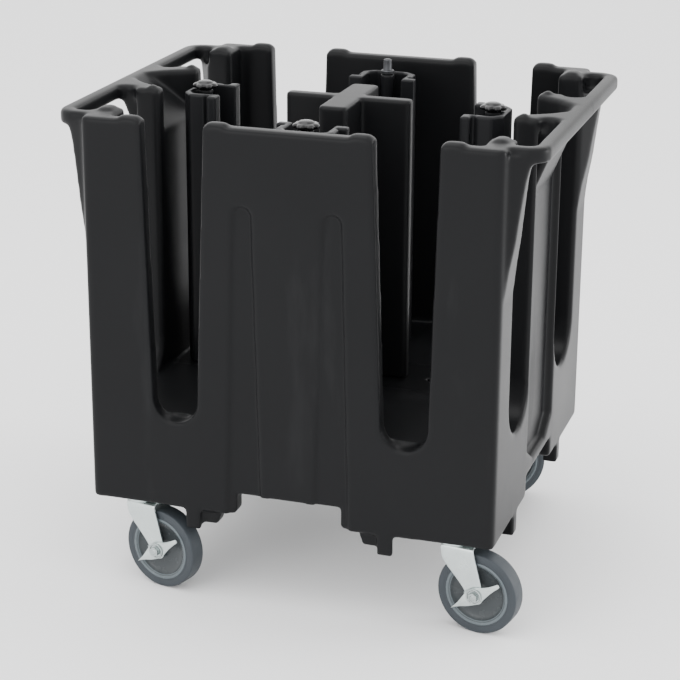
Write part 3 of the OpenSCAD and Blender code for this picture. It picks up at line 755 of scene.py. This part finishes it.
dress([body_shell, cross], body_finish)
dress(towers, tower_finish)
dress(knobs, knob_finish)
dress([pin], pin_finish)
dress(tyres, tyre_finish)
dress(hubs, hub_finish)
dress(lips, lip_finish)
dress(forks + races + levers, zinc_finish)
dress(axles, bolt_shade_finish)
STEEL = ("rod_", "clamp_foot_", "caster_plate_", "caster_bolts", "cross_bolts")
for name, node in nodes.items():
    if name.startswith(STEEL):
        for slot in node.material_slots:
            slot.material = zinc_finish
print("steel solids:", [name for name in nodes if name.startswith(STEEL)])

# %% [markdown]
# ## Floor, light and camera
# The cart stands on a plain white floor that reaches far past it on every side.

# %% Lay the floor
FLOOR_REACH = 14
bm = bmesh.new()
bmesh.ops.create_grid(bm, x_segments=1, y_segments=1, size=FLOOR_REACH)
floor_mesh = bpy.data.meshes.new("floor")
bm.to_mesh(floor_mesh)
bm.free()
floor = bpy.data.objects.new("floor", floor_mesh)
bpy.context.scene.collection.objects.link(floor)
PAPER = (0.88, 0.88, 0.885, 1)
paper = Finish("paper_white")
floor_mesh.materials.append(paper.paint(Base_Color=PAPER, Roughness=0.75))
print("floor", 2 * FLOOR_REACH, "m wide")

# %% [markdown]
# Three large soft lamps and a bright sky of even white stand for a product studio. One lamp hangs
# above, one at the right models that side, and one in front keeps the front panel readable.

# %% Hang the lamps
SKY = 2.3


def lamp(name, place, aim, size, power):
    light = bpy.data.lights.new(name, "AREA")
    light.shape = "RECTANGLE"
    light.size, light.size_y = size
    light.energy = power
    holder = bpy.data.objects.new(name, light)
    bpy.context.scene.collection.objects.link(holder)
    holder.location = place
    holder.rotation_euler = (Vector(aim) - Vector(place)).to_track_quat("-Z", "Y").to_euler()
    return holder


lamp("lamp_top", (-0.6, -0.4, 3.6), aim=(0, 0, 0.5), size=(2.6, 2.0), power=40)
lamp("lamp_right", (3.6, 0.9, 1.3), aim=(0.2, 0, 0.5), size=(1.4, 1.6), power=70)
lamp("lamp_front", (-1.6, -4.0, 2.4), aim=(0, 0, 0.45), size=(2.4, 2.0), power=40)
world = bpy.data.worlds.new("studio")
world.use_nodes = True
world.node_tree.nodes["Background"].inputs["Color"].default_value = (1, 1, 1, 1)
world.node_tree.nodes["Background"].inputs["Strength"].default_value = SKY
bpy.context.scene.world = world
print("lamps hung, sky at", SKY)

# %% [markdown]
# The camera stands in front and a little to the right, above the rim. Its place and angles were
# found by matching the corners of the body and the wheels to their places in the picture. Its
# height is counted from the lower edge of the moulding, and its focal length was found in pixels.

# %% Aim the camera
YAW, PITCH, ROLL = 0.311728, 0.337415, 0.006157
FOCAL_PIXELS, PICTURE_PIXELS, SENSOR = 2058.39, 680, 36
CAMERA_X, CAMERA_Y, CAMERA_ABOVE_FOOT = 1.08256, -3.40529, 1.4771
right = Vector((math.cos(YAW), math.sin(YAW), 0))
back = Vector((math.sin(YAW) * math.cos(PITCH), -math.cos(YAW) * math.cos(PITCH), math.sin(PITCH)))
up = back.cross(right)
tilted_right = right * math.cos(ROLL) + up * math.sin(ROLL)
tilted_up = up * math.cos(ROLL) - right * math.sin(ROLL)
lens = bpy.data.cameras.new("camera")
lens.lens = FOCAL_PIXELS / PICTURE_PIXELS * SENSOR
lens.sensor_width = SENSOR
camera = bpy.data.objects.new("camera", lens)
bpy.context.scene.collection.objects.link(camera)
turned = Matrix((tilted_right, tilted_up, back)).transposed().to_4x4()
stand = Matrix.Translation((CAMERA_X, CAMERA_Y, CAMERA_ABOVE_FOOT + foot_z))
camera.matrix_world = stand @ turned
bpy.context.scene.camera = camera
print("camera at", [round(v, 3) for v in camera.matrix_world.translation])
